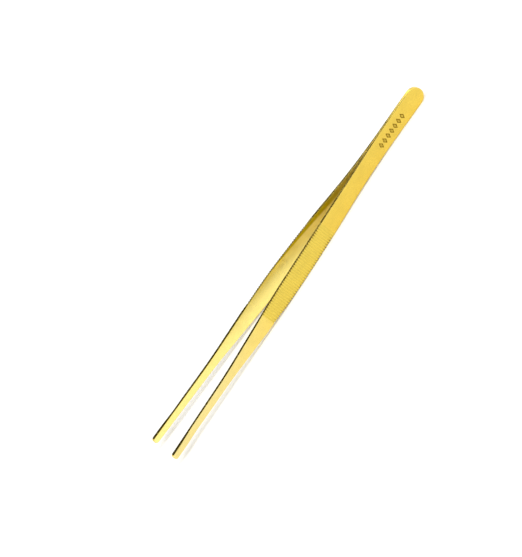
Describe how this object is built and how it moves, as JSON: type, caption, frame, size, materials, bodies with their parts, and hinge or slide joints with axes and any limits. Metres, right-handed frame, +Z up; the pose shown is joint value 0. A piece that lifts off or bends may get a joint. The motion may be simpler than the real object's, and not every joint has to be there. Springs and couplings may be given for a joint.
{
  "type": "stamp tongs",
  "caption": "Long gold-plated spring tongs with ribbed grips and slim rounded tips, for lifting and placing stamps; the arms flex closed and spring open.",
  "frame": {"origin": "bottom centre of the bounding box: halfway along the tongs, on the centre plane between the two strips, at the lowest long edge, which is the surface that the tongs lie on", "axes": "+X along the tongs from the tips to the heel; +Y the way the rear strip opens, with the front strip at -Y; +Z up, across the width of the strips"},
  "size_m": [0.155, 0.0172, 0.0075],
  "materials": {
    "gold_plate": "polished gold-coloured plating over spring stainless steel",
    "weld_metal": "fused stainless steel inside the heel, not seen from outside"
  },
  "bodies": {
    "heel": {"front_heel": "gold_plate", "rear_heel": "gold_plate", "heel_welds": "weld_metal", "front_spring_leaf": "gold_plate", "rear_spring_leaf": "gold_plate"},
    "front_arm": {"front_grip": "gold_plate", "front_shank": "gold_plate", "front_jaw": "gold_plate"},
    "rear_arm": {"rear_grip": "gold_plate", "rear_shank": "gold_plate", "rear_jaw": "gold_plate"}
  },
  "joints": [
    {"name": "front_arm_flex", "type": "hinge", "parent": "heel", "child": "front_arm", "pos_m": [0.04375, -0.0004, 0.00375], "axis": [0, 0, -1], "range_deg": [0, 3.28], "stiffness_Nm_per_rad": 1.3, "deforming": ["front_spring_leaf"]},
    {"name": "rear_arm_flex", "type": "hinge", "parent": "heel", "child": "rear_arm", "pos_m": [0.04375, 0.0004, 0.00375], "axis": [0, 0, 1], "range_deg": [0, 3.28], "stiffness_Nm_per_rad": 1.3, "deforming": ["rear_spring_leaf"]}
  ],
  "couplings": [
    {"joint": "rear_arm_flex", "follows": "front_arm_flex", "ratio": 1}
  ]
}
